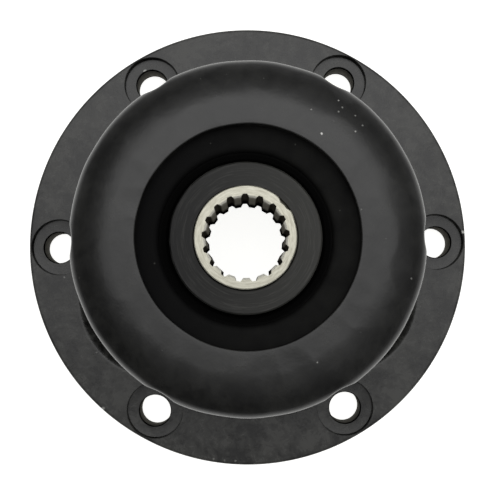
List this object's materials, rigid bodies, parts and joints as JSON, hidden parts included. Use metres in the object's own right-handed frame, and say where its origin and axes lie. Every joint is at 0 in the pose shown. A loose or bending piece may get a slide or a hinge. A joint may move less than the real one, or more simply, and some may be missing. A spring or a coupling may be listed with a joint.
{
  "type": "engine drive coupler",
  "caption": "Round flanged drive coupler: black-painted cast bowl with bolt holes, a bonded rubber ring and a steel hub with a splined sleeve.",
  "frame": {"origin": "centre of the flange's back face, on the coupler's axis", "axes": "+Z along the coupler's axis, from the flange towards the bowl's face; +X towards the first bolt hole, which lies 0.8 degrees on from it"},
  "size_m": [0.165, 0.165, 0.0608],
  "materials": {
    "painted_casting": "satin black paint over a sand-cast skin",
    "bonded_rubber": "moulded, matt",
    "dark_steel": "blackened, with turning marks and light scratches",
    "bare_steel": "bare, machined"
  },
  "bodies": {
    "root": {"housing": "painted_casting", "rubber_element": "bonded_rubber", "hub": "dark_steel", "spline_sleeve": "bare_steel"}
  },
  "joints": []
}
